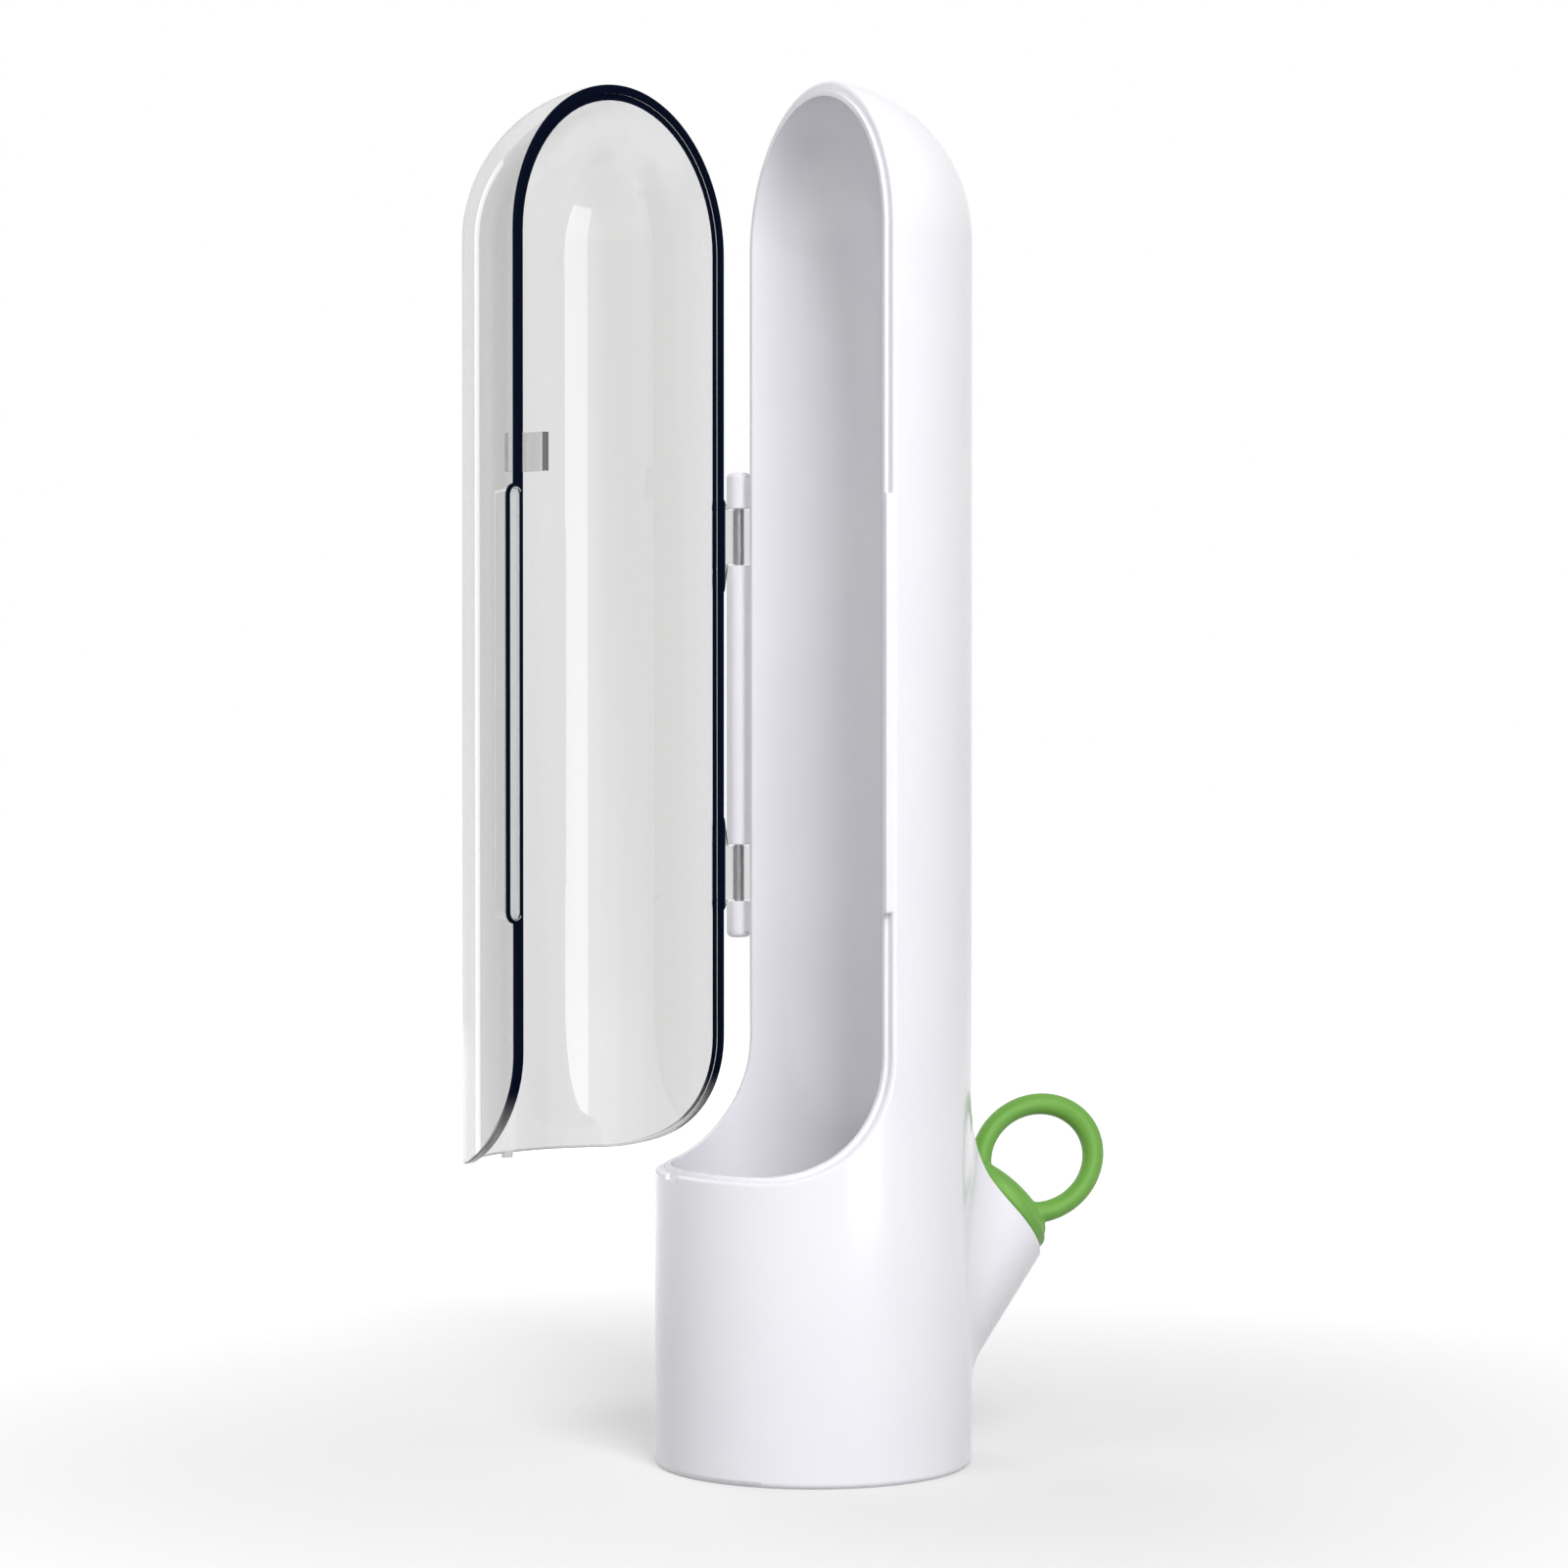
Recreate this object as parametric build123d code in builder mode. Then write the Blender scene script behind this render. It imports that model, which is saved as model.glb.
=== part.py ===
from build123d import *
from math import cos, hypot, radians, sin
import os

# Herb keeper: a slim upright capsule for herbs or asparagus, stood in a little water.
# The white pod is a cup with a half capsule rising from its back. A clear half capsule
# closes the front and swings on two pins at its left edge. A spout low on the back
# takes the water, and a soft plug with a pull ring closes it.
#
# Millimetres. +Z is up and the origin is the centre of the flat underside. The door
# faces -Y, the spout faces +Y, and the hinge is on the -X side. The door is shown open.

# --- Pod -------------------------------------------------------------------------
POD_RADIUS = 31.75
POD_HEIGHT = 276.5
WALL = 3.1
CUP_HEIGHT = 59.3          # front rim of the cup
CORNER_RADIUS = 24.0       # side view: the closing line turns from the rim up the sides
CLOSING_Y = 1.0            # the closing plane lies this far behind the pod's axis
CLOSING_GAP = 0.4          # air between the shell and the closed door
FOOT_EDGE = 1.2
RIM_EDGE = 0.7             # rounding along the outside of the closing line
DOOR_EDGE = 0.35

# --- Lap joint along the closing line ----------------------------------------------
LIP_THICKNESS = 1.1        # inner part of the shell's wall that stands forward
LIP_REACH = 0.8
LIP_CLEARANCE = 0.3

# --- Base plate ---------------------------------------------------------------------
PLATE_THICKNESS = 2.6
PLATE_LEDGE = 1.2          # how far the plate reaches under the cup's wall
PLATE_COLLAR_HEIGHT = 2.4
PLATE_COLLAR_WALL = 1.6
PLATE_CLEARANCE = 0.05

# --- Hinge ----------------------------------------------------------------------------
HINGE_STANDOFF = 4.35      # from the pod's wall out to the hinge axis
HINGE_MIDDLE = 152.0
BARREL_RADIUS = 2.6
MIDDLE_KNUCKLE = 58.0      # shell
DOOR_KNUCKLE = 11.8        # one above and one below the middle knuckle
END_KNUCKLE = 7.6          # shell, outside the door's knuckles
KNUCKLE_GAP = 0.3
KNUCKLE_EDGE = 1.2         # rounding of the outermost knuckle ends
ARM_SPREAD = 2.2           # a shell arm is this much thicker where it meets the wall
DOOR_ARM_FLARE_UP = 2.0
DOOR_ARM_FLARE_DOWN = 5.8
PIN_RADIUS = 1.1
PIN_CLEARANCE = 0.05
PIN_HOLD = 8.0             # depth of the pin in the middle knuckle
PIN_INSET = 0.6            # the pin ends this far inside the end knuckle
DOOR_OPENING = 66.0        # degrees, the door as shown

# --- Grip and latch on the door's free edge ---------------------------------------------
GRIP_LENGTH = 86.7
GRIP_LIP = 2.2             # how far the grip stands out from the wall
GRIP_DEPTH = 4.6
GRIP_TAPER = 14.0
SLOT_WIDTH = 3.0           # long slot in the grip's face
SLOT_STANDOFF = 1.25       # from the inside of the wall to the slot
BOSS_SINK = 0.15           # the shell's long boss stands this far inside its outer face
BOSS_REACH = 0.6           # beyond the lip
BOSS_CLEARANCE = 0.35      # round the boss in the slot
LATCH_MIDDLE = 201.4
LATCH_HEIGHT = 7.6
LATCH_THICKNESS = 1.2
LATCH_STANDOFF = 0.85      # from the inside of the wall to the tongue
LATCH_REACH = 4.0          # past the closing plane
LATCH_ROOT = 3.6           # along the door's inside
LATCH_BEAD = 0.8
LATCH_BEAD_INSET = 1.4     # from the tongue's tip

# --- Closing notch at the front of the cup's rim ------------------------------------------
NOTCH_WIDTH = 5.0
NOTCH_DEPTH = 1.3
NOTCH_INWARD = 1.2
TAB_WIDTH = 2.6
TAB_REACH = 1.0
TAB_THICKNESS = 0.8

# --- Spout ----------------------------------------------------------------------------------
SPOUT_RISE = 41.3          # degrees, the spout's axis above the horizontal
MOUTH_SINK = 0.5           # the top of the mouth's edge dips this far into the pod's wall
MOUTH_Z = 48.5
MOUTH_RADIUS = 14.0
SPOUT_WALL = 3.2
SPOUT_TAPER = 10.5         # degrees, the spout widens towards the cup
SPOUT_LENGTH = 37.0
SPOUT_BLEND = 18.0
MOUTH_EDGE = 0.3
NECK_LENGTH = 9.5          # straight part of the bore that takes the plug

# --- Plug -------------------------------------------------------------------------------------
SEAT_GAP = 0.1
FLANGE_STEP = 1.3          # the mouth's edge shows this much round the flange
FLANGE_THICKNESS = 1.7
FLANGE_CLEARANCE = 0.35
FLANGE_EDGE = 0.6
STEM_CLEARANCE = 0.8
STEM_LENGTH = 8.4
STEM_HOLLOW = 7.0
STEM_HOLLOW_DEPTH = 6.4
RIB_CLEARANCE = 0.25
RIB_THICKNESS = 1.2
RIB_COUNT = 2
RIB_SPACING = 3.2
RING_WIRE = 2.1            # half the ring's thickness
RING_ACROSS = 11.0         # centre line's half width
RING_ALONG = 12.4          # centre line's half length, along the plug's axis
RING_CENTRE = 15.1         # from the mouth's plane
RING_FOOT = 8.5            # top of the solid foot that joins the ring to the flange
RING_EDGE = 1.2            # bevel that makes the ring's section eight-sided
RING_TURN = -32.5          # degrees, the plug as it was pushed in

# --- Worked out from the values above --------------------------------------------------------------
DOME_Z = POD_HEIGHT - POD_RADIUS
INNER_RADIUS = POD_RADIUS - WALL
LIP_RADIUS = INNER_RADIUS + LIP_THICKNESS
REACH = 2 * POD_RADIUS
HINGE_X = -(POD_RADIUS + HINGE_STANDOFF)
SHELL_FACE_Y = CLOSING_Y + CLOSING_GAP / 2
DOOR_FACE_Y = CLOSING_Y - CLOSING_GAP / 2
WALL_MIDDLE = POD_RADIUS - WALL / 2
LIP_TIP_Y = SHELL_FACE_Y - LIP_REACH
BOSS_TIP_Y = LIP_TIP_Y - BOSS_REACH
GRIP_WIDTH = WALL + GRIP_LIP
SLOT_X = INNER_RADIUS + SLOT_STANDOFF + SLOT_WIDTH / 2
SLOT_LENGTH = GRIP_LENGTH - 2 * (GRIP_WIDTH - SLOT_STANDOFF - SLOT_WIDTH)
BOSS_WIDTH = WALL - SLOT_STANDOFF - BOSS_CLEARANCE - BOSS_SINK
BOSS_X = POD_RADIUS - BOSS_SINK - BOSS_WIDTH / 2
TONGUE_X = INNER_RADIUS - LATCH_STANDOFF - LATCH_THICKNESS
TONGUE_ROOT = LIP_TIP_Y - LIP_CLEARANCE - LATCH_ROOT
TONGUE_TIP = CLOSING_Y + LATCH_REACH
BEAD_X = TONGUE_X + LATCH_THICKNESS - LATCH_BEAD / 2
BORE_RADIUS = MOUTH_RADIUS - SPOUT_WALL
PIN_BORE = PIN_RADIUS + PIN_CLEARANCE
DOOR_KNUCKLE_UP = HINGE_MIDDLE + MIDDLE_KNUCKLE / 2
HINGE_TOP = DOOR_KNUCKLE_UP + DOOR_KNUCKLE + END_KNUCKLE
PIN_LENGTH = PIN_HOLD + DOOR_KNUCKLE + END_KNUCKLE - PIN_INSET

FLANGE_RADIUS = MOUTH_RADIUS - FLANGE_STEP
spout_rise = radians(SPOUT_RISE)
MOUTH_Y = POD_RADIUS + MOUTH_RADIUS * sin(spout_rise) - MOUTH_SINK
mouth_plane = Plane(
    origin=(0, MOUTH_Y, MOUTH_Z),
    x_dir=(1, 0, 0),
    z_dir=(0, cos(spout_rise), sin(spout_rise)),
)
hinge_axis = Axis((HINGE_X, CLOSING_Y, 0), (0, 0, 1))


def capsule_half(radius):
    """Half outline of an upright capsule that stands on the origin, to be turned about Z."""
    with BuildSketch(Plane.XZ) as half:
        with BuildLine():
            Polyline((0, DOME_Z + radius), (0, 0), (radius, 0), (radius, DOME_Z))
            CenterArc((0, DOME_Z), radius, 0, 90)
        make_face()
    return half.sketch


def front_side_view(inset):
    """Side view, Y across and Z up, of the space in front of the closing line."""
    turn = (CLOSING_Y - CORNER_RADIUS, CUP_HEIGHT + CORNER_RADIUS)
    back = CLOSING_Y - inset
    rim = CUP_HEIGHT + inset
    top = POD_HEIGHT + REACH
    with BuildSketch(Plane.YZ) as view:
        with BuildLine():
            Polyline((turn[0], rim), (-REACH, rim), (-REACH, top), (back, top), (back, turn[1]))
            CenterArc(turn, CORNER_RADIUS - inset, -90, 90)
        make_face()
    return view.sketch


def knuckle_outline(foot, side):
    """Hinge barrel and arm from above, at height foot; side is 1 for the shell, -1 for the door."""
    face = CLOSING_Y + side * CLOSING_GAP / 2
    back = CLOSING_Y + side * BARREL_RADIUS
    root = back + side * (ARM_SPREAD if side > 0 else 0)
    with BuildSketch(Plane.XY.offset(foot)) as outline:
        with Locations((HINGE_X, CLOSING_Y)):
            Circle(BARREL_RADIUS)
        with BuildLine():
            Polyline((HINGE_X, face), (HINGE_X, back), (-WALL_MIDDLE, root), (-WALL_MIDDLE, face), close=True)
        make_face()
    return outline.sketch


def closing_edges(body, inset):
    """Edges of a solid half that run along the closing line, inset in front of it."""
    found = ShapeList()
    for edge in body.edges():
        middle = edge @ 0.5
        ahead = max(middle.Y - CLOSING_Y + CORNER_RADIUS, 0)
        below = max(CUP_HEIGHT + CORNER_RADIUS - middle.Z, 0)
        if abs(hypot(ahead, below) - CORNER_RADIUS + inset) < CLOSING_GAP / 4:
            found.append(edge)
    return found.filter_by(Axis.X, reverse=True)


# --- Inner part of the shell's wall, which stands forward as a lip ----------------------------------------
with BuildPart() as shell_lip:
    revolve(capsule_half(LIP_RADIUS), axis=Axis.Z)
    extrude(front_side_view(LIP_REACH - CLOSING_GAP / 2), amount=REACH, both=True, mode=Mode.SUBTRACT)
    split(bisect_by=Plane.XY.offset(PLATE_THICKNESS), keep=Keep.TOP)

# --- Barrel of the shell's uppermost knuckle, rounded at its free end -----------------------------------------
with BuildPart() as end_barrel:
    with BuildSketch(Plane.XY.offset(HINGE_TOP)):
        with Locations((HINGE_X, CLOSING_Y)):
            Circle(BARREL_RADIUS)
    extrude(amount=-END_KNUCKLE)
    fillet(end_barrel.edges().group_by(Axis.Z)[-1], radius=KNUCKLE_EDGE)

# --- Pod shell: cup, back, spout and knuckles in one moulding ---------------------------------------------
with BuildPart() as pod_shell:
    revolve(capsule_half(POD_RADIUS), axis=Axis.Z)
    fillet(pod_shell.edges().group_by(Axis.Z)[0], radius=FOOT_EDGE)
    with BuildSketch(mouth_plane):
        Circle(MOUTH_RADIUS)
    extrude(amount=-SPOUT_LENGTH, taper=-SPOUT_TAPER)
    # One half carries the spout's blend and is mirrored
    split(bisect_by=Plane.YZ)
    curved_edges = pod_shell.edges().filter_by(GeomType.LINE, reverse=True)
    fillet(curved_edges.filter_by(GeomType.CIRCLE, reverse=True), radius=SPOUT_BLEND)
    mouth_face = pod_shell.faces().filter_by(mouth_plane).sort_by(Axis.Z)[-1]
    fillet(mouth_face.edges().filter_by(GeomType.LINE, reverse=True), radius=MOUTH_EDGE)
    mirror(about=Plane.YZ)
    with BuildSketch(mouth_plane):
        Circle(FLANGE_RADIUS + FLANGE_CLEARANCE)
    extrude(amount=MOUTH_RADIUS, mode=Mode.SUBTRACT)
    extrude(front_side_view(-CLOSING_GAP / 2), amount=REACH, both=True, mode=Mode.SUBTRACT)
    fillet(closing_edges(pod_shell, -CLOSING_GAP / 2), radius=RIM_EDGE)
    add(shell_lip.part)
    with BuildSketch(mouth_plane):
        Circle(BORE_RADIUS)
    extrude(amount=-NECK_LENGTH, mode=Mode.SUBTRACT)
    with BuildSketch(mouth_plane.offset(-NECK_LENGTH)):
        Circle(BORE_RADIUS)
    extrude(amount=NECK_LENGTH - SPOUT_LENGTH, taper=-SPOUT_TAPER, mode=Mode.SUBTRACT)
    revolve(capsule_half(INNER_RADIUS), axis=Axis.Z, mode=Mode.SUBTRACT)
    with BuildSketch():
        Circle(INNER_RADIUS + PLATE_LEDGE)
    extrude(amount=PLATE_THICKNESS, mode=Mode.SUBTRACT)
    # Long boss beside the grip
    with BuildSketch(Plane.XZ.offset(-SHELL_FACE_Y - RIM_EDGE)):
        with Locations((BOSS_X, HINGE_MIDDLE)):
            SlotOverall(SLOT_LENGTH - SLOT_WIDTH, BOSS_WIDTH, rotation=90)
    extrude(amount=SHELL_FACE_Y + RIM_EDGE - BOSS_TIP_Y)
    # Groove for the latch's bead
    with BuildSketch(Plane.XY.offset(LATCH_MIDDLE - LATCH_HEIGHT / 2 - LIP_CLEARANCE)):
        with Locations((BEAD_X, TONGUE_TIP - LATCH_BEAD_INSET)):
            Circle(LATCH_BEAD + LIP_CLEARANCE)
    extrude(amount=LATCH_HEIGHT + 2 * LIP_CLEARANCE, mode=Mode.SUBTRACT)
    # Knuckles
    extrude(knuckle_outline(HINGE_MIDDLE, 1), amount=MIDDLE_KNUCKLE / 2, both=True)
    for arm_foot in (HINGE_TOP - END_KNUCKLE, 2 * HINGE_MIDDLE - HINGE_TOP + KNUCKLE_EDGE):
        extrude(knuckle_outline(arm_foot, 1), amount=END_KNUCKLE - KNUCKLE_EDGE)
    add(end_barrel.part)
    add(mirror(end_barrel.part, about=Plane.XY.offset(HINGE_MIDDLE)))
    with BuildSketch(Plane.XY.offset(HINGE_TOP)):
        with Locations((HINGE_X, CLOSING_Y)):
            Circle(PIN_BORE)
    extrude(amount=-(PIN_LENGTH + PIN_INSET), mode=Mode.SUBTRACT)
    with BuildSketch(Plane.XY.offset(2 * HINGE_MIDDLE - HINGE_TOP)):
        with Locations((HINGE_X, CLOSING_Y)):
            Circle(PIN_BORE)
    extrude(amount=PIN_LENGTH + PIN_INSET, mode=Mode.SUBTRACT)
    # Notch for the door's tab
    with BuildSketch(Plane.XY.offset(CUP_HEIGHT)):
        with Locations((0, -POD_RADIUS)):
            Rectangle(NOTCH_WIDTH, 2 * NOTCH_INWARD)
    extrude(amount=-NOTCH_DEPTH, mode=Mode.SUBTRACT)
pod_shell.part.label = "pod_shell"

# --- Base plate: closes the cup from below ------------------------------------------------------------------
with BuildPart() as base_plate:
    with BuildSketch():
        Circle(INNER_RADIUS + PLATE_LEDGE - PLATE_CLEARANCE)
    extrude(amount=PLATE_THICKNESS)
    with BuildSketch(Plane.XY.offset(PLATE_THICKNESS)):
        Circle(INNER_RADIUS - PLATE_CLEARANCE)
        Circle(INNER_RADIUS - PLATE_COLLAR_WALL, mode=Mode.SUBTRACT)
    extrude(amount=PLATE_COLLAR_HEIGHT)
base_plate.part.label = "base_plate"

# --- What the lap joint takes from the inside of the door's edge ------------------------------------------------
with BuildPart() as door_step:
    revolve(capsule_half(LIP_RADIUS + LIP_CLEARANCE), axis=Axis.Z)
    extrude(front_side_view(LIP_REACH - CLOSING_GAP / 2 + LIP_CLEARANCE), amount=REACH, both=True, mode=Mode.SUBTRACT)

# --- Door, drawn closed --------------------------------------------------------------------------------------------
with BuildPart() as closed_door:
    revolve(capsule_half(POD_RADIUS), axis=Axis.Z)
    extrude(front_side_view(CLOSING_GAP / 2), amount=REACH, both=True, mode=Mode.INTERSECT)
    fillet(closing_edges(closed_door, CLOSING_GAP / 2), radius=DOOR_EDGE)
    # Grip
    with BuildSketch(Plane.XZ.offset(-DOOR_FACE_Y)):
        with Locations((INNER_RADIUS + GRIP_WIDTH / 2, HINGE_MIDDLE)):
            SlotOverall(GRIP_LENGTH, GRIP_WIDTH, rotation=90)
    extrude(amount=GRIP_DEPTH, taper=GRIP_TAPER)
    revolve(capsule_half(INNER_RADIUS), axis=Axis.Z, mode=Mode.SUBTRACT)
    add(door_step.part, mode=Mode.SUBTRACT)
    # Slot that takes the shell's boss
    with BuildSketch(Plane.XZ.offset(-DOOR_FACE_Y)):
        with Locations((SLOT_X, HINGE_MIDDLE)):
            SlotOverall(SLOT_LENGTH, SLOT_WIDTH, rotation=90)
    extrude(amount=DOOR_FACE_Y - BOSS_TIP_Y + BOSS_CLEARANCE, mode=Mode.SUBTRACT)
    # Latch tongue with its bead
    with BuildSketch(Plane.XY.offset(LATCH_MIDDLE)):
        with Locations((TONGUE_X, TONGUE_ROOT)):
            Rectangle(LATCH_THICKNESS, TONGUE_TIP - TONGUE_ROOT, align=Align.MIN)
            Rectangle(LATCH_STANDOFF + LATCH_THICKNESS + WALL / 2, LATCH_ROOT, align=Align.MIN)
        with Locations((BEAD_X, TONGUE_TIP - LATCH_BEAD_INSET)):
            Circle(LATCH_BEAD)
    extrude(amount=LATCH_HEIGHT / 2, both=True)
    # Tab under the front edge
    with BuildSketch(Plane.XY.offset(CUP_HEIGHT + WALL)):
        with Locations((0, -POD_RADIUS)):
            Rectangle(TAB_WIDTH, TAB_THICKNESS, align=(Align.CENTER, Align.MIN))
    extrude(amount=-(WALL + TAB_REACH))
    # Knuckles and their flared arms
    for knuckle_foot, flare_up, flare_down in (
        (DOOR_KNUCKLE_UP, DOOR_ARM_FLARE_UP, DOOR_ARM_FLARE_DOWN),
        (2 * HINGE_MIDDLE - DOOR_KNUCKLE_UP - DOOR_KNUCKLE, DOOR_ARM_FLARE_DOWN, DOOR_ARM_FLARE_UP),
    ):
        low = knuckle_foot + KNUCKLE_GAP
        high = knuckle_foot + DOOR_KNUCKLE - KNUCKLE_GAP
        extrude(knuckle_outline(low, -1), amount=high - low)
        with BuildSketch(Plane.XZ.offset(-DOOR_FACE_Y)):
            with BuildLine():
                Polyline(
                    (HINGE_X + BARREL_RADIUS + 2 * KNUCKLE_GAP, low),
                    (-POD_RADIUS, low - flare_down),
                    (-WALL_MIDDLE, low - flare_down),
                    (-WALL_MIDDLE, high + flare_up),
                    (-POD_RADIUS, high + flare_up),
                    (HINGE_X + BARREL_RADIUS + 2 * KNUCKLE_GAP, high),
                    close=True,
                )
            make_face()
        extrude(amount=BARREL_RADIUS - CLOSING_GAP / 2)
        with BuildSketch(Plane.XY.offset(low)):
            with Locations((HINGE_X, CLOSING_Y)):
                Circle(PIN_BORE)
        extrude(amount=high - low, mode=Mode.SUBTRACT)

# --- Door as shown, swung open on its hinge ---------------------------------------------------------------------------
with BuildPart() as clear_door:
    add(closed_door.part.rotate(hinge_axis, -DOOR_OPENING))
clear_door.part.label = "clear_door"

# --- Hinge pins -----------------------------------------------------------------------------------------------------------
with BuildPart() as hinge_pin_upper:
    with BuildSketch(Plane.XY.offset(HINGE_TOP - PIN_INSET)):
        with Locations((HINGE_X, CLOSING_Y)):
            Circle(PIN_RADIUS)
    extrude(amount=-PIN_LENGTH)
    chamfer(hinge_pin_upper.edges().filter_by(GeomType.CIRCLE), length=PIN_RADIUS / 4)
hinge_pin_upper.part.label = "hinge_pin_upper"

with BuildPart() as hinge_pin_lower:
    add(hinge_pin_upper.part)
    mirror(about=Plane.XY.offset(HINGE_MIDDLE), mode=Mode.REPLACE)
hinge_pin_lower.part.label = "hinge_pin_lower"

# --- Spout plug: flange, ribbed hollow stem and pull ring in one soft moulding -----------------------------------------------
across = mouth_plane.rotated((0, 0, RING_TURN))
ring_plane = Plane(origin=mouth_plane.origin, x_dir=across.y_dir, z_dir=across.x_dir)

with BuildSketch(ring_plane) as finger_hole:
    with Locations((0, RING_CENTRE)):
        Ellipse(RING_ACROSS - RING_WIRE, RING_ALONG - RING_WIRE)
    with Locations((0, RING_FOOT)):
        Rectangle(4 * RING_ACROSS, 4 * RING_ALONG, align=(Align.CENTER, Align.MIN), mode=Mode.INTERSECT)
    fillet(finger_hole.vertices(), radius=RING_WIRE / 2)

with BuildPart() as pull_ring:
    with BuildSketch(ring_plane):
        with Locations((0, RING_CENTRE)):
            Ellipse(RING_ACROSS + RING_WIRE, RING_ALONG + RING_WIRE)
        add(finger_hole.sketch_local, mode=Mode.SUBTRACT)
    extrude(amount=RING_WIRE, both=True)
    chamfer(pull_ring.faces().filter_by(ring_plane).edges(), length=RING_EDGE)

with BuildPart() as spout_plug:
    with BuildSketch(mouth_plane.offset(SEAT_GAP)):
        Circle(FLANGE_RADIUS)
    extrude(amount=FLANGE_THICKNESS)
    chamfer(spout_plug.edges(), length=FLANGE_EDGE)
    with BuildSketch(mouth_plane.offset(SEAT_GAP)):
        Circle(BORE_RADIUS - STEM_CLEARANCE)
    extrude(amount=-STEM_LENGTH)
    add(pull_ring.part)
    with BuildSketch(mouth_plane.offset(SEAT_GAP - STEM_LENGTH)):
        Circle(STEM_HOLLOW)
    extrude(amount=STEM_HOLLOW_DEPTH, mode=Mode.SUBTRACT)
    for rib in range(RIB_COUNT):
        with BuildSketch(mouth_plane.offset(-(rib + 1) * RIB_SPACING)):
            Circle(BORE_RADIUS - RIB_CLEARANCE)
            Circle(STEM_HOLLOW + STEM_CLEARANCE, mode=Mode.SUBTRACT)
        extrude(amount=RIB_THICKNESS / 2, both=True)
spout_plug.part.label = "spout_plug"

os.makedirs("parts", exist_ok=True)
export_step(pod_shell.part, "parts/pod_shell.step")
export_step(base_plate.part, "parts/base_plate.step")
export_step(clear_door.part, "parts/clear_door.step")
export_step(hinge_pin_upper.part, "parts/hinge_pin_upper.step")
export_step(hinge_pin_lower.part, "parts/hinge_pin_lower.step")
export_step(spout_plug.part, "parts/spout_plug.step")
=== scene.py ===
import math

import bmesh
import bpy
from bpy.props import FloatProperty, FloatVectorProperty, IntProperty, PointerProperty
from bpy.types import Operator, Panel, PropertyGroup
from mathutils import Matrix, Vector


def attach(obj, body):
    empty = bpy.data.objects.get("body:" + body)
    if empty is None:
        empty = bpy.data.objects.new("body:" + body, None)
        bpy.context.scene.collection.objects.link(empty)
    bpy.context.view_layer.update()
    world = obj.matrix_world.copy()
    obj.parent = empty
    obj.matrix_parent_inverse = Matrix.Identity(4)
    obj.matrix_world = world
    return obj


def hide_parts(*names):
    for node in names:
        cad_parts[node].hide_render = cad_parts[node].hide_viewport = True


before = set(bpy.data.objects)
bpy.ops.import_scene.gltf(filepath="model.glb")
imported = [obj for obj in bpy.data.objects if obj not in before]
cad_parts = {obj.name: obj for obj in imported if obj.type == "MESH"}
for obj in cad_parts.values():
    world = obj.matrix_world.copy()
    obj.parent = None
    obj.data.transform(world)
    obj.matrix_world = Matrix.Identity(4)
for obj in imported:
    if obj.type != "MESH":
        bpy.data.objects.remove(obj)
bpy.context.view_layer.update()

bl_info = {
    "name": "Herb Keeper",
    "version": (1, 0, 0),
    "blender": (4, 5, 0),
    "location": "3D View > Sidebar > Herb Keeper",
    "description": "Finishes the herb keeper's mouldings and sets its studio",
    "category": "Object",
}

MM = 0.001

# The door's faces and fittings, as they are when it is shut. A pair is where a change starts and ends.
HINGE = (-36.1 * MM, 1.0 * MM, 0)
CORNER_Y, CORNER_Z = -23.0 * MM, 83.3 * MM  # middle of the closing line's corner; reach is measured from it
LEAST_REACH = 1.0 * MM  # to divide by
MEETING = (0.5, 0.8)  # how squarely a face looks at the shell
MEETING_REACH = (22.6 * MM, 22.9 * MM)
RIM_REACH = (23.1 * MM, 23.3 * MM)
FOOT_Z = (60 * MM, 76 * MM)
# share of the painted dark reflection that is left along the door's foot
FOOT_PAINTED_DARK = 0.25
GRIP_X, GRIP_Z = 31.4 * MM, 152 * MM
GRIP_HALF_LENGTH = 40.8 * MM  # of its straight part
GRIP_OUTLINE = (1.52 * MM, 1.75 * MM)  # from its middle line
GRIP_FROST = 0.75
ARMS_X = (-32.2 * MM, -31.8 * MM)
LATCH_Z = 201.4 * MM
LATCH_SIDE = (3.7 * MM, 4.1 * MM)  # above and below its middle
LATCH_X = (28.5 * MM, 28.9 * MM)
LATCH_TIP_Y = (4.2 * MM, 4.6 * MM)
# painted dark reflection on the end face of the latch's tip
LATCH_TIP_PAINTED_DARK = 0.8
BACK_Y, BACK_FADE = 2.0 * MM, 1.0 * MM  # the door is clear behind this
# where in the noise the painted reflection bands start and are full
REFLECTION_BAND_RAMP = (0.35, 0.65)  # of the noise that draws them
WALL_PASSES = 0.85  # of the lamps' light

STEEL, DARKER_STEEL = (0.62, 0.62, 0.64), (0.50, 0.50, 0.53)
DEEPER_GREEN = 0.82

# The plug, besides what its panel sets. Heights are along its axis, from the spout's mouth.
SEAT = 0.1 * MM
FLANGE_BEVEL = 0.6 * MM
RIB_HEIGHTS = (-3.2 * MM, -6.4 * MM)
RIB_SIZE = 0.6 * MM
RIB_FACE, RIB_ROOT = 0.6 * RIB_SIZE, 1.6 * RIB_SIZE  # half heights, at the rib's face and at the stem
HOLLOW_RADIUS, HOLLOW_DEPTH = 7 * MM, 6.4 * MM
VOXEL = 0.22 * MM
EASE_FACTOR, EASE_ROUNDS = 0.5, 14

# The studio, in metres
FLOOR_HALF_WIDTH = 6
FLOOR_COLOUR = (0.5, 0.5, 0.5)
FLOOR_LIFT = (0.35, 0.85)  # near the pod and far from it
FLOOR_LIFT_REACH = (0.04, 0.45)
POD_MIDDLE = (0, 0, 0.14)
STRIP_HEIGHT = 0.46
SENSOR_WIDTH = 36  # mm


# Sizes and colours

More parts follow.
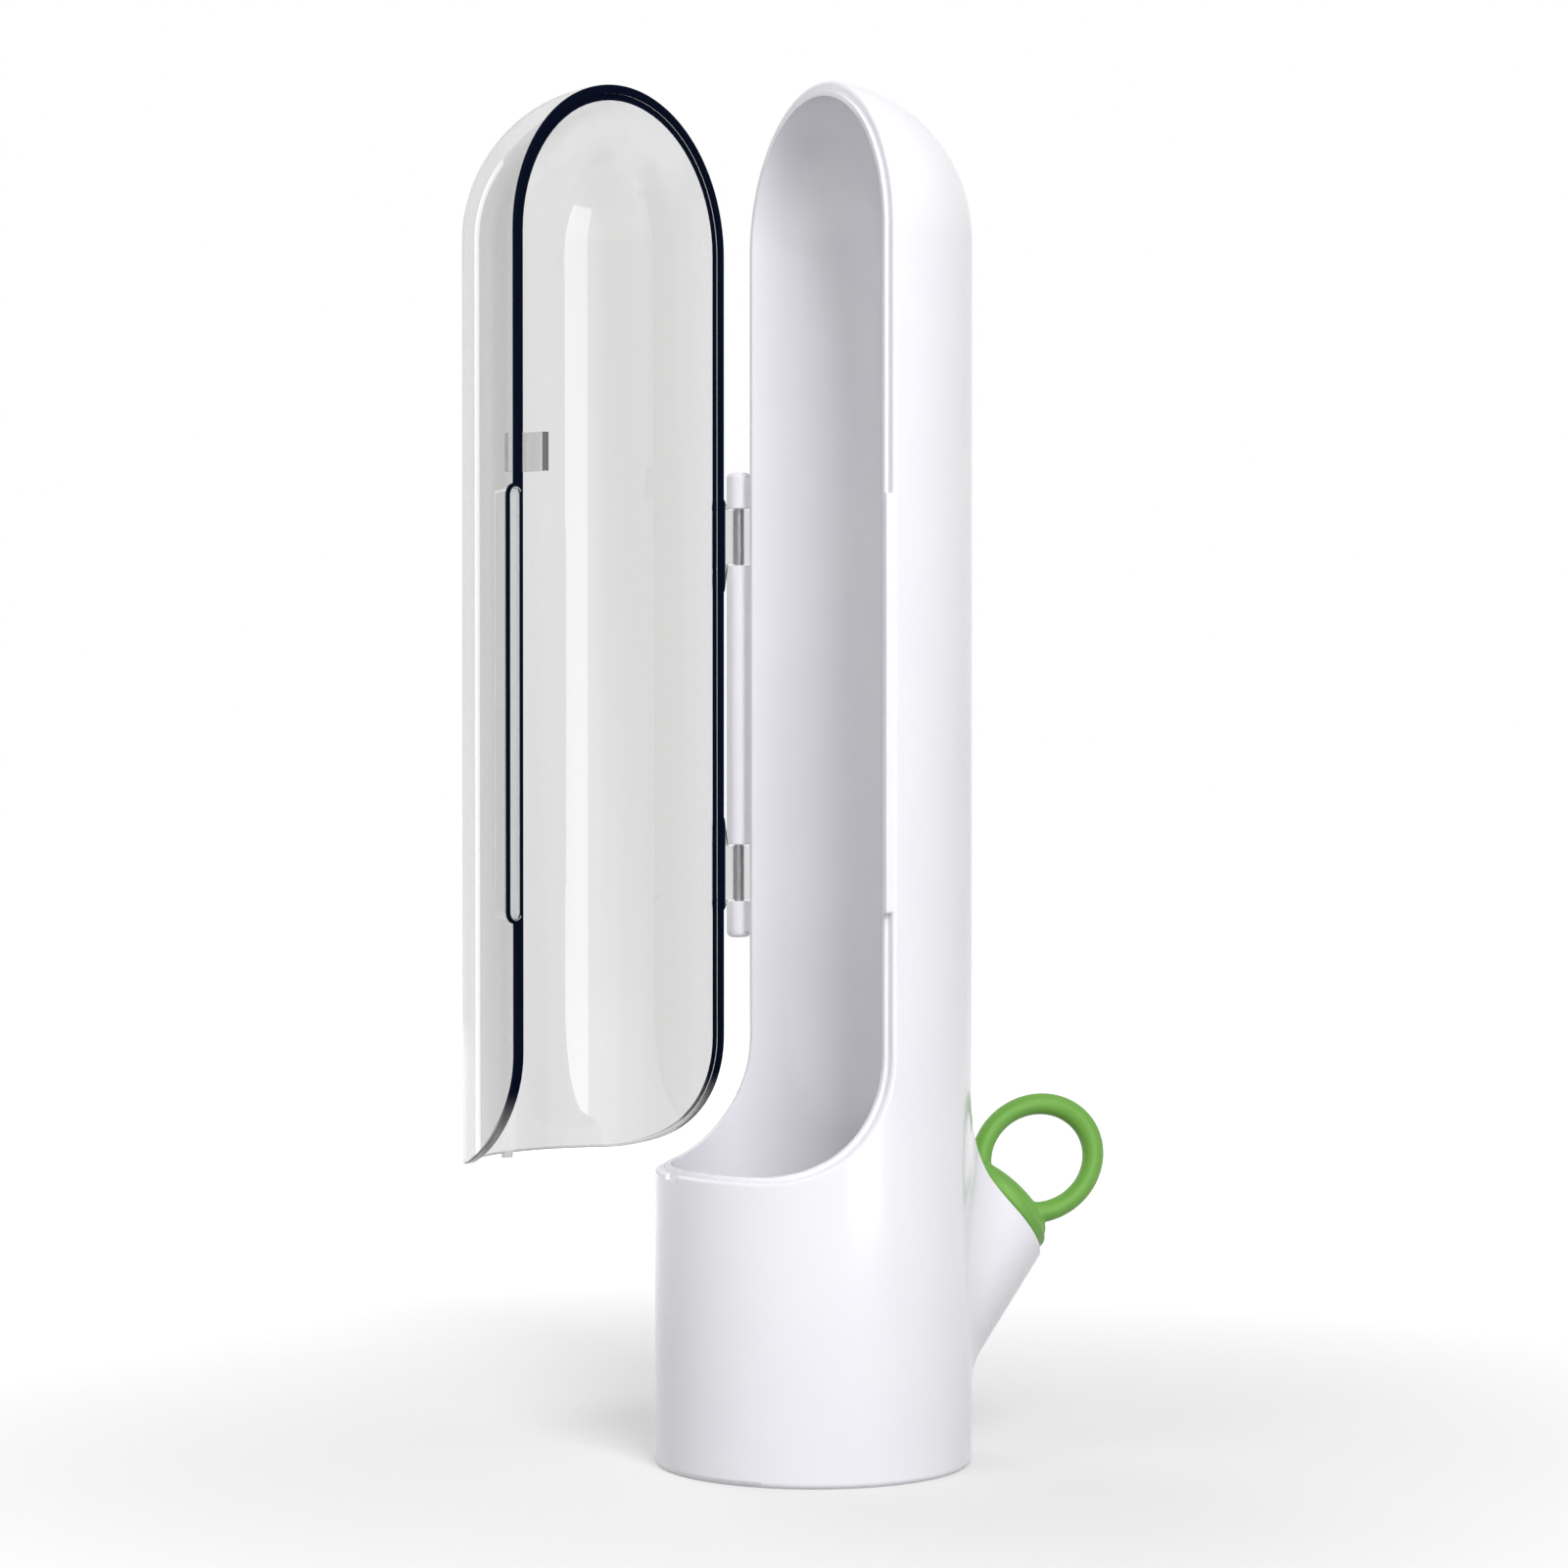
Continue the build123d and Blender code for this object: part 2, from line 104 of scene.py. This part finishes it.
def colour_property(name, description, default):
    return FloatVectorProperty(
        name=name, description=description, subtype="COLOR", size=3, min=0, max=1, default=default)


def length_property(name, description, default, **more):
    return FloatProperty(
        name=name, description=description, subtype="DISTANCE", unit="LENGTH", default=default, **more)


def angle_property(name, description, degrees):
    return FloatProperty(
        name=name, description=description, subtype="ANGLE", unit="ROTATION", default=math.radians(degrees))


def power_property(name, description, default):
    return FloatProperty(name=name, description=description, subtype="POWER", unit="POWER", default=default)


def vector_property(name, description, default, subtype="TRANSLATION"):
    return FloatVectorProperty(
        name=name, description=description, subtype=subtype, unit="LENGTH", size=3, default=default)


class PodFinish(PropertyGroup):
    colour: colour_property("Colour", "Glossy white moulding", (0.86, 0.855, 0.885))
    cool: colour_property("Cool tone", "Faint cooler patches in the white", (0.80, 0.79, 0.85))
    ripple: length_property("Ripple", "Moulding ripple in the gloss", 0.02 * MM, precision=6)


class DoorFinish(PropertyGroup):
    colour: colour_property("Colour", "Clear plastic", (0.78, 0.78, 0.785))
    # faint upright bands of painted reflection in the clear colour
    painted_reflection_band: colour_property("Streak", "Faint upright flow streaks", (0.69, 0.69, 0.685))
    # near-black painted dark reflection on the faces that meet the shell
    edge: colour_property("Edge", "Faces that meet the shell", (0.003, 0.005, 0.014))
    frost: colour_property("Frost", "Face of the grip", (0.80, 0.84, 0.84))
    opening: angle_property("Opening", "Angle at which the door stands", 66)
    ripple: length_property("Ripple", "Moulding ripple in the clear wall", 0.03 * MM, precision=6)


class PlugShape(PropertyGroup):
    colour: colour_property("Colour", "Green silicone", (0.15, 0.375, 0.05))
    flange_radius: length_property("Flange radius", "Round lip on the spout's mouth", 12.85 * MM)
    flange_thickness: length_property("Flange thickness", "Lip, from its seat to its top", 3.1 * MM)
    stem_radius: length_property("Stem radius", "Stem in the spout", 10.0 * MM)
    rib_radius: length_property("Rib radius", "Sealing ribs on the stem", 10.55 * MM)
    stem_length: length_property("Stem length", "Stem, from its seat down", 8.4 * MM)
    wire_radius: length_property("Ring wire", "Half the pull ring's thickness", 2.1 * MM)
    ring_across: length_property("Ring half width", "Centre line, across the plug", 11.0 * MM)
    ring_along: length_property("Ring half length", "Centre line, along the plug", 12.4 * MM)
    ring_centre: length_property("Ring centre", "Above the mouth", 15.1 * MM)
    foot: vector_property(
        "Foot", "Half thickness, half width and height of the rounded foot under the ring",
        (4.2 * MM, 12.0 * MM, 4.9 * MM), subtype="XYZ")
    ring_turn: angle_property("Ring turn", "How far the plug is turned in the spout", -32.5)
    spout_rise: angle_property("Spout rise", "Spout's axis above the horizontal", 41.3)
    mouth: vector_property("Mouth", "Centre of the spout's mouth", (0, 40.49 * MM, 48.5 * MM))
    steps: IntProperty(name="Steps", description="Steps round the turned parts", default=96, min=24)


class Stage(PropertyGroup):
    camera: vector_property("Camera", "Where the camera stands", (0.7266, -0.3704, 0.14745))
    target: vector_property("Target", "What it looks at", (-0.00267, -0.00523, 0.1360))
    lens: FloatProperty(name="Lens", description="Focal length on a 36 mm sensor", default=93.4)
    key: power_property("Key", "Main soft light", 13.8)
    fill: power_property("Fill", "Light from the other side", 1.2)
    back: power_property("Back", "Soft light from behind", 4.0)
    strips: power_property("Strips", "Tall strips that only gloss picks up", 1.2)
    daylight: FloatProperty(name="Daylight", description="Even light from all round", default=0.30)


# Materials

class Graph:
    """A node tree, with short ways to add the nodes used here."""

    def __init__(self, tree):
        self.nodes, self.links = tree.nodes, tree.links

    def add(self, kind):
        return self.nodes.new("ShaderNode" + kind)

    def link(self, source, socket):
        self.links.new(source, socket)

    def place(self):
        """The piece's own coordinates."""
        return self.add("TexCoord").outputs["Object"]

    def noise(self, grain, detail=2.0, stretch=(1, 1, 1)):
        """Noise over the piece's own coordinates; grain is its width in metres."""
        scale = self.add("Mapping")
        scale.inputs["Scale"].default_value = stretch
        texture = self.add("TexNoise")
        texture.inputs["Scale"].default_value = 1 / grain
        texture.inputs["Detail"].default_value = detail
        self.link(self.place(), scale.inputs["Vector"])
        self.link(scale.outputs["Vector"], texture.inputs["Vector"])
        return texture.outputs["Fac"]

    def maths(self, operation, *terms):
        """One maths node; a term is a number or a socket."""
        node = self.add("Math")
        node.operation = operation
        for socket, term in zip(node.inputs, terms):
            if isinstance(term, (int, float)):
                socket.default_value = term
            else:
                self.link(term, socket)
        return node.outputs["Value"]

    def spread(self, value, low, high):
        """Value from 0 to 1 mapped to the range low to high."""
        turn = self.add("MapRange")
        turn.inputs["To Min"].default_value = low
        turn.inputs["To Max"].default_value = high
        self.link(value, turn.inputs["Value"])
        return turn.outputs["Result"]

    def ramp(self, value, start, end, low=0.0, high=1.0):
        """A smooth step from low to high while value goes from start to end."""
        turn = self.add("MapRange")
        turn.interpolation_type = "SMOOTHSTEP"
        turn.inputs["From Min"].default_value = start
        turn.inputs["From Max"].default_value = end
        turn.inputs["To Min"].default_value = low
        turn.inputs["To Max"].default_value = high
        self.link(value, turn.inputs["Value"])
        return turn.outputs["Result"]

    def between(self, value, first, second, under=None):
        """Colour from first to second as value goes from 0 to 1; under, if given, takes the place of first."""
        mix = self.add("Mix")
        mix.data_type = "RGBA"
        mix.inputs["A"].default_value = (*first, 1)
        mix.inputs["B"].default_value = (*second, 1)
        self.link(value, mix.inputs["Factor"])
        if under:
            self.link(under, mix.inputs["A"])
        return mix.outputs["Result"]

    def bump(self, height, strength, distance, under=None):
        node = self.add("Bump")
        node.inputs["Strength"].default_value = strength
        node.inputs["Distance"].default_value = distance
        self.link(height, node.inputs["Height"])
        if under:
            self.link(under, node.inputs["Normal"])
        return node.outputs["Normal"]

    def seen(self, high, low=0.0):
        """The value high for camera, glossy and transmission rays and low for the rest."""
        path = self.add("LightPath").outputs
        total = self.maths("MAXIMUM", path["Is Camera Ray"], path["Is Glossy Ray"])
        total = self.maths("MAXIMUM", total, path["Is Transmission Ray"])
        return self.spread(total, low, high)

    def for_ray(self, ray, usual, special):
        """The shader special for one kind of ray and usual for the rest."""
        mix = self.add("MixShader")
        self.link(self.add("LightPath").outputs[ray], mix.inputs["Fac"])
        self.link(usual, mix.inputs[1])
        self.link(special, mix.inputs[2])
        return mix.outputs["Shader"]


def new_material(name):
    mat = bpy.data.materials.new(name)
    mat.use_nodes = True
    graph = Graph(mat.node_tree)
    return mat, graph, graph.nodes["Principled BSDF"]


def white_plastic(finish):
    mat, graph, skin = new_material("white_moulded_plastic")
    tone = graph.between(graph.noise(grain=0.03), finish.colour, finish.cool)
    graph.link(tone, skin.inputs["Base Color"])
    gloss = graph.spread(graph.noise(grain=0.006, detail=4), low=0.16, high=0.26)
    graph.link(gloss, skin.inputs["Roughness"])
    soft = graph.add("Bevel")
    soft.samples = 6
    soft.inputs["Radius"].default_value = 0.4 * MM
    wide = graph.bump(
        graph.noise(grain=0.012, detail=1), strength=0.3, distance=finish.ripple * 4,
        under=soft.outputs["Normal"])
    fine = graph.bump(graph.noise(grain=0.0012, detail=2), strength=0.2, distance=finish.ripple, under=wide)
    graph.link(fine, skin.inputs["Normal"])
    skin.inputs["IOR"].default_value = 1.5
    skin.inputs["Coat Weight"].default_value = 0.3
    skin.inputs["Coat Roughness"].default_value = 0.06
    skin.inputs["Subsurface Weight"].default_value = 0.12
    skin.inputs["Subsurface Radius"].default_value = (1.0, 0.95, 0.9)
    skin.inputs["Subsurface Scale"].default_value = 1.2 * MM
    return mat


def door_masks(graph, opening):
    """Where the door gets its painted dark reflection and how frosted it is, each from 0 to 1, wherever the
    door stands.
    """
    maths, ramp = graph.maths, graph.ramp
    coordinates = graph.add("TexCoord")

    def shut(vector, hinge):
        """X, Y and Z of a place or a direction on the door, as if it were turned shut about its hinge."""
        turn = graph.add("VectorRotate")
        turn.rotation_type = "Z_AXIS"
        turn.inputs["Center"].default_value = hinge
        turn.inputs["Angle"].default_value = opening
        graph.link(vector, turn.inputs["Vector"])
        apart = graph.add("SeparateXYZ")
        graph.link(turn.outputs["Vector"], apart.inputs["Vector"])
        return (apart.outputs[axis] for axis in "XYZ")

    def distance(across, along):
        return maths("SQRT", maths("ADD", maths("MULTIPLY", across, across), maths("MULTIPLY", along, along)))

    x, y, z = shut(coordinates.outputs["Object"], HINGE)
    _side, rearward, upward = shut(coordinates.outputs["Normal"], (0, 0, 0))

    # reach is the distance from the middle of the closing line's rounded corner, along the door's edge
    ahead = maths("MAXIMUM", maths("SUBTRACT", y, CORNER_Y), 0)
    below = maths("MAXIMUM", maths("SUBTRACT", CORNER_Z, z), 0)
    reach = distance(ahead, below)
    # only the face that meets the shell gets the painted dark reflection, not the walls beside it
    facing = maths("SUBTRACT", maths("MULTIPLY", rearward, ahead), maths("MULTIPLY", upward, below))
    facing = maths("DIVIDE", facing, maths("MAXIMUM", reach, LEAST_REACH))
    meeting = ramp(facing, *MEETING)
    dark = maths("MULTIPLY", ramp(reach, *MEETING_REACH), meeting)
    dark = maths("MAXIMUM", dark, ramp(reach, *RIM_REACH))
    # the painted dark reflection pales along the foot of the door
    foot = maths("MULTIPLY", ramp(z, *FOOT_Z), 1 - FOOT_PAINTED_DARK)
    dark = maths("MULTIPLY", dark, maths("ADD", foot, FOOT_PAINTED_DARK))

    # the hinge arms and the latch are clear of the painted dark reflection, apart from the latch's tip
    arms = ramp(x, *ARMS_X)
    latch = ramp(maths("ABSOLUTE", maths("SUBTRACT", z, LATCH_Z)), *LATCH_SIDE)
    inside = maths("MAXIMUM", latch, ramp(x, *LATCH_X))
    inside = maths("MAXIMUM", inside, maths("LESS_THAN", x, 0))
    back = ramp(maths("SUBTRACT", BACK_Y, y), 0, BACK_FADE)
    for limit in (arms, inside, back):
        dark = maths("MULTIPLY", dark, limit)

    # the grip's face is pale and frosted inside its outline of painted dark reflection
    over = maths("SUBTRACT", x, GRIP_X)
    along = maths("ABSOLUTE", maths("SUBTRACT", z, GRIP_Z))
    along = maths("MAXIMUM", maths("SUBTRACT", along, GRIP_HALF_LENGTH), 0)
    outline = ramp(distance(over, along), *GRIP_OUTLINE)
    frost = maths("MULTIPLY", maths("MULTIPLY", meeting, maths("SUBTRACT", 1.0, outline)), GRIP_FROST)
    dark = maths("MULTIPLY", dark, outline)
    tip = maths("MULTIPLY", ramp(y, *LATCH_TIP_Y), LATCH_TIP_PAINTED_DARK)
    return maths("MAXIMUM", dark, tip), frost


def clear_plastic(finish):
    mat, graph, skin = new_material("clear_moulded_plastic")
    dark, frost = door_masks(graph, finish.opening)
    # long faint upright streaks of painted reflection
    streaks = graph.ramp(graph.noise(grain=0.011, detail=1.5, stretch=(1, 1, 0.03)), *REFLECTION_BAND_RAMP)
    clear = graph.between(streaks, finish.colour, finish.painted_reflection_band)
    # the faces that meet the shell are painted near-black, a painted dark reflection
    body = graph.between(dark, finish.colour, finish.edge, under=clear)
    graph.link(graph.between(frost, finish.colour, finish.frost, under=body), skin.inputs["Base Color"])
    graph.link(graph.spread(dark, low=0.5, high=0.0), skin.inputs["Specular IOR Level"])
    gloss = graph.spread(graph.noise(grain=0.008, detail=3), low=0.01, high=0.05)
    graph.link(gloss, skin.inputs["Roughness"])
    flow = graph.bump(
        graph.noise(grain=0.02, detail=1, stretch=(1, 1, 0.15)), strength=0.35, distance=finish.ripple * 4)
    fine = graph.bump(graph.noise(grain=0.004, detail=2), strength=0.1, distance=finish.ripple, under=flow)
    graph.link(fine, skin.inputs["Normal"])
    skin.inputs["IOR"].default_value = 1.49
    skin.inputs["Transmission Weight"].default_value = 1.0
    # nothing shows through the painted dark edge and the frosted grip
    opaque = graph.maths("MAXIMUM", dark, frost)
    graph.link(graph.spread(opaque, low=1.0, high=0.0), skin.inputs["Transmission Weight"])
    # the lamps shine through the clear walls
    lit = graph.add("BsdfTransparent")
    lit.inputs["Color"].default_value = (WALL_PASSES, WALL_PASSES, WALL_PASSES, 1)
    wall = graph.for_ray("Is Shadow Ray", skin.outputs["BSDF"], lit.outputs["BSDF"])
    graph.link(wall, graph.nodes["Material Output"].inputs["Surface"])
    return mat


def pin_steel():
    mat, graph, skin = new_material("drawn_steel")
    drawn = graph.noise(grain=0.0003, detail=3, stretch=(1, 1, 0.04))
    graph.link(graph.between(drawn, STEEL, DARKER_STEEL), skin.inputs["Base Color"])
    graph.link(graph.spread(drawn, low=0.22, high=0.4), skin.inputs["Roughness"])
    graph.link(graph.bump(drawn, strength=0.15, distance=0.02 * MM), skin.inputs["Normal"])
    skin.inputs["Metallic"].default_value = 1.0
    return mat


def green_silicone(shape):
    mat, graph, skin = new_material("green_silicone")
    deep = tuple(channel * DEEPER_GREEN for channel in shape.colour)
    tone = graph.between(graph.noise(grain=0.009, detail=3), shape.colour, deep)
    graph.link(tone, skin.inputs["Base Color"])
    gloss = graph.spread(graph.noise(grain=0.002, detail=4), low=0.36, high=0.5)
    graph.link(gloss, skin.inputs["Roughness"])
    fine = graph.bump(graph.noise(grain=0.0005, detail=3), strength=0.25, distance=0.02 * MM)
    graph.link(fine, skin.inputs["Normal"])
    skin.inputs["Subsurface Weight"].default_value = 0.15
    skin.inputs["Subsurface Radius"].default_value = (0.5, 1.0, 0.3)
    skin.inputs["Subsurface Scale"].default_value = 1.5 * MM
    skin.inputs["Sheen Weight"].default_value = 0.05
    return mat


def pale_surface(name, colour, lift, lift_reach):
    """Diffuse surface that camera and mirror rays see lifted towards white, more so away from the middle."""
    mat = bpy.data.materials.new(name)
    mat.use_nodes = True
    graph = Graph(mat.node_tree)
    graph.nodes.clear()
    plain = graph.add("BsdfDiffuse")
    plain.inputs["Color"].default_value = (*colour, 1)
    away = graph.add("VectorMath")
    away.operation = "LENGTH"
    graph.link(graph.place(), away.inputs[0])
    glow = graph.add("Emission")
    strength = graph.maths("MULTIPLY", graph.seen(1.0), graph.ramp(away.outputs["Value"], *lift_reach, *lift))
    graph.link(strength, glow.inputs["Strength"])
    both = graph.add("AddShader")
    graph.link(plain.outputs["BSDF"], both.inputs[0])
    graph.link(glow.outputs["Emission"], both.inputs[1])
    # seen through clear plastic it is as white as the world
    white = graph.add("Emission")
    surface = graph.for_ray("Is Transmission Ray", both.outputs["Shader"], white.outputs["Emission"])
    graph.link(surface, graph.add("OutputMaterial").inputs["Surface"])
    return mat


# Pieces

def dress(node, mat):
    """Give a piece of the CAD model one material in all its slots."""
    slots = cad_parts[node].data.materials
    if not slots:
        slots.append(mat)
    for i in range(len(slots)):
        slots[i] = mat


def new_mesh(name, bm):
    mesh = bpy.data.meshes.new(name)
    bm.to_mesh(mesh)
    bm.free()
    return mesh


def new_object(name, data):
    thing = bpy.data.objects.new(name, data)
    bpy.context.scene.collection.objects.link(thing)
    return thing


def turned(bm, outline, steps):
    """A closed body turned about Z from its half outline of (radius, height) pairs."""
    points = [bm.verts.new((r, 0, z)) for r, z in outline]
    edges = [bm.edges.new(pair) for pair in zip(points, points[1:])]
    bmesh.ops.spin(
        bm, geom=points + edges, cent=(0, 0, 0), axis=(0, 0, 1), angle=math.tau, steps=steps, use_merge=True)
    bmesh.ops.remove_doubles(bm, verts=bm.verts, dist=0.01 * MM)


def plug_outline(s, top):
    """Half outline of the flange and the ribbed, hollow stem, from the top down."""
    rim, stem, tip = s.flange_radius, s.stem_radius, SEAT - s.stem_length
    outline = [(0, top), (rim - FLANGE_BEVEL, top), (rim, top - FLANGE_BEVEL)]
    outline += [(rim, SEAT + FLANGE_BEVEL), (rim - FLANGE_BEVEL, SEAT), (stem, SEAT)]
    for middle in RIB_HEIGHTS:
        outline += [(stem, middle + RIB_ROOT), (s.rib_radius, middle + RIB_FACE)]
        outline += [(s.rib_radius, middle - RIB_FACE), (stem, middle - RIB_ROOT)]
    outline += [(stem, tip), (HOLLOW_RADIUS, tip)]
    outline += [(HOLLOW_RADIUS, tip + HOLLOW_DEPTH), (0, tip + HOLLOW_DEPTH)]
    return outline


def add_pull_ring(bm, s):
    """An upright oval ring of round wire above the flange."""
    before = set(bm.verts)
    start = Matrix.Translation((0, s.ring_across, 0))
    wire = bmesh.ops.create_circle(bm, segments=32, radius=s.wire_radius, matrix=start)["verts"]
    edges = list(dict.fromkeys(edge for vert in wire for edge in vert.link_edges))
    bmesh.ops.spin(
        bm, geom=wire + edges, cent=(0, 0, 0), axis=(1, 0, 0), angle=math.tau, steps=s.steps, use_merge=True)
    ring = [vert for vert in bm.verts if vert not in before]
    bmesh.ops.scale(bm, vec=(1, 1, s.ring_along / s.ring_across), verts=ring)
    bmesh.ops.translate(bm, vec=(0, 0, s.ring_centre), verts=ring)


def add_foot(bm, s, top):
    """The rounded foot under the ring, cut off inside the flange in a mesh of its own."""
    dome = bmesh.new()
    place = Matrix.Translation((0, 0, top)) @ Matrix.Diagonal((*s.foot, 1))
    bmesh.ops.create_icosphere(dome, subdivisions=4, radius=1, matrix=place)
    cut = bmesh.ops.bisect_plane(
        dome, geom=dome.verts[:] + dome.edges[:] + dome.faces[:], plane_co=(0, 0, SEAT + FLANGE_BEVEL),
        plane_no=(0, 0, -1), clear_outer=True)["geom_cut"]
    bmesh.ops.edgeloop_fill(dome, edges=[part for part in cut if isinstance(part, bmesh.types.BMEdge)])
    foot = new_mesh("soft_plug_foot", dome)
    bm.from_mesh(foot)
    bpy.data.meshes.remove(foot)


def plug_place(s):
    """From the plug's own axis and ring to where it stands in the spout."""
    axis = Vector((0, math.cos(s.spout_rise), math.sin(s.spout_rise)))
    normal = Matrix.Rotation(s.ring_turn, 3, axis) @ Vector((1, 0, 0))
    place = Matrix((normal, axis.cross(normal), axis)).transposed().to_4x4()
    place.translation = s.mouth
    return place


def run_together(context, rough):
    """One smooth mesh from the overlapping bodies of a rough one."""
    draft = new_object(rough.name, rough)
    skin = draft.modifiers.new("Run together", "REMESH")
    skin.mode, skin.voxel_size = "VOXEL", VOXEL
    ease = draft.modifiers.new("Ease", "SMOOTH")
    ease.factor, ease.iterations = EASE_FACTOR, EASE_ROUNDS
    finished = bpy.data.meshes.new_from_object(draft.evaluated_get(context.evaluated_depsgraph_get()))
    bpy.data.objects.remove(draft)
    for face in finished.polygons:
        face.use_smooth = True
    return finished


class KEEPER_OT_pod(Operator):
    """Finish the pod and its base plate in glossy white plastic"""
    bl_idname = "herb_keeper.pod"
    bl_label = "Pod"

    def execute(self, context):
        mat = white_plastic(context.scene.keeper_pod)
        dress("pod_shell", mat)
        dress("base_plate", mat)
        return {"FINISHED"}


class KEEPER_OT_door(Operator):
    """Finish the door in clear plastic, with a painted dark reflection where it meets the shell"""
    bl_idname = "herb_keeper.door"
    bl_label = "Clear door"

    def execute(self, context):
        dress("clear_door", clear_plastic(context.scene.keeper_door))
        return {"FINISHED"}


class KEEPER_OT_pins(Operator):
    """Finish the two hinge pins in drawn steel"""
    bl_idname = "herb_keeper.pins"
    bl_label = "Hinge pins"

    def execute(self, context):
        mat = pin_steel()
        dress("hinge_pin_upper", mat)
        dress("hinge_pin_lower", mat)
        return {"FINISHED"}


class KEEPER_OT_plug(Operator):
    """Model the soft plug: turned flange and ribbed stem, pull ring and foot, run together"""
    bl_idname = "herb_keeper.plug"
    bl_label = "Spout plug"

    def execute(self, context):
        s = context.scene.keeper_plug
        top = SEAT + s.flange_thickness
        bm = bmesh.new()
        turned(bm, plug_outline(s, top), s.steps)
        add_pull_ring(bm, s)
        add_foot(bm, s, top)
        bmesh.ops.recalc_face_normals(bm, faces=bm.faces)
        bmesh.ops.transform(bm, matrix=plug_place(s), verts=bm.verts)
        rough = new_mesh("soft_plug_rough", bm)
        piece = new_object("soft_plug", run_together(context, rough))
        piece.data.materials.append(green_silicone(s))
        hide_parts("spout_plug")
        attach(piece, "plug")
        return {"FINISHED"}


# Studio

def look(thing, place, aim):
    """Stand a lamp or a camera at place and turn it towards aim."""
    thing.location = place
    thing.rotation_euler = (Vector(aim) - Vector(place)).to_track_quat("-Z", "Y").to_euler()


def softbox(name, power, size, place, aim):
    lamp = bpy.data.lights.new(name, "AREA")
    lamp.shape, lamp.size, lamp.size_y, lamp.energy = "RECTANGLE", size[0], size[1], power
    softbox_object = new_object(name, lamp)
    look(softbox_object, place, aim)
    softbox_object.visible_camera = False
    return softbox_object


class KEEPER_OT_stage(Operator):
    """Set the floor, the soft lights, the world and the camera"""
    bl_idname = "herb_keeper.stage"
    bl_label = "Stage"

    def execute(self, context):
        s = context.scene.keeper_stage
        bm = bmesh.new()
        bmesh.ops.create_grid(bm, x_segments=8, y_segments=8, size=FLOOR_HALF_WIDTH)
        floor = new_object("floor", new_mesh("floor", bm))
        floor.data.materials.append(pale_surface("pale_floor", FLOOR_COLOUR, FLOOR_LIFT, FLOOR_LIFT_REACH))

        world = bpy.data.worlds.new("studio")
        context.scene.world = world
        world.use_nodes = True
        graph = Graph(world.node_tree)
        background = graph.nodes["Background"]
        background.inputs["Color"].default_value = (1, 1, 1, 1)
        graph.link(graph.seen(1.0, s.daylight), background.inputs["Strength"])

        for name, power, size, place in (
            ("key_light", s.key, (0.45, 0.9), (1.00, -0.15, 0.82)),
            ("fill_light", s.fill, (0.25, 1.0), (0.25, -0.80, 0.50)),
            ("back_light", s.back, (0.6, 0.9), (-0.95, -0.10, 0.60)),
        ):
            lamp = softbox(name, power, size, place, POD_MIDDLE)
            lamp.visible_glossy = False
            lamp.visible_transmission = name == "key_light"
        for name, power, width, place, aim in (
            ("middle_strip", 0.5 * s.strips, 0.12, (0.284, 0.047, 0.25), (-0.051, -0.030, 0.25)),
            ("outer_strip", 0.12 * s.strips, 0.05, (-0.331, -0.227, 0.25), (-0.021, -0.064, 0.25)),
        ):
            strip = softbox(name, power, (width, STRIP_HEIGHT), place, aim)
            strip.visible_diffuse = strip.visible_transmission = False

        camera = bpy.data.cameras.new("camera")
        camera.lens, camera.sensor_width = s.lens, SENSOR_WIDTH
        camera.clip_start, camera.clip_end = 0.01, 50
        view = new_object("camera", camera)
        look(view, s.camera, s.target)
        context.scene.camera = view
        context.scene.view_settings.view_transform = "Standard"
        return {"FINISHED"}


# Panel

PARTS = (
    ("keeper_pod", "herb_keeper.pod"),
    ("keeper_door", "herb_keeper.door"),
    (None, "herb_keeper.pins"),
    ("keeper_plug", "herb_keeper.plug"),
    ("keeper_stage", "herb_keeper.stage"),
)


class KEEPER_PT_panel(Panel):
    bl_label = "Herb Keeper"
    bl_idname = "KEEPER_PT_panel"
    bl_space_type = "VIEW_3D"
    bl_region_type = "UI"
    bl_category = "Herb Keeper"

    def draw(self, context):
        for group, operator in PARTS:
            box = self.layout.box()
            if group:
                settings = getattr(context.scene, group)
                for name in settings.__annotations__:
                    box.prop(settings, name)
            box.operator(operator)


GROUPS = {"keeper_pod": PodFinish, "keeper_door": DoorFinish, "keeper_plug": PlugShape, "keeper_stage": Stage}
CLASSES = (
    *GROUPS.values(), KEEPER_OT_pod, KEEPER_OT_door, KEEPER_OT_pins, KEEPER_OT_plug, KEEPER_OT_stage,
    KEEPER_PT_panel,
)


def register():
    for cls in CLASSES:
        bpy.utils.register_class(cls)
    for name, group in GROUPS.items():
        setattr(bpy.types.Scene, name, PointerProperty(type=group))


def unregister():
    for name in GROUPS:
        delattr(bpy.types.Scene, name)
    for cls in reversed(CLASSES):
        bpy.utils.unregister_class(cls)


def main():
    register()
    bpy.ops.herb_keeper.stage()
    bpy.ops.herb_keeper.pod()
    bpy.ops.herb_keeper.door()
    bpy.ops.herb_keeper.pins()
    bpy.ops.herb_keeper.plug()


if __name__ == "__main__":
    main()
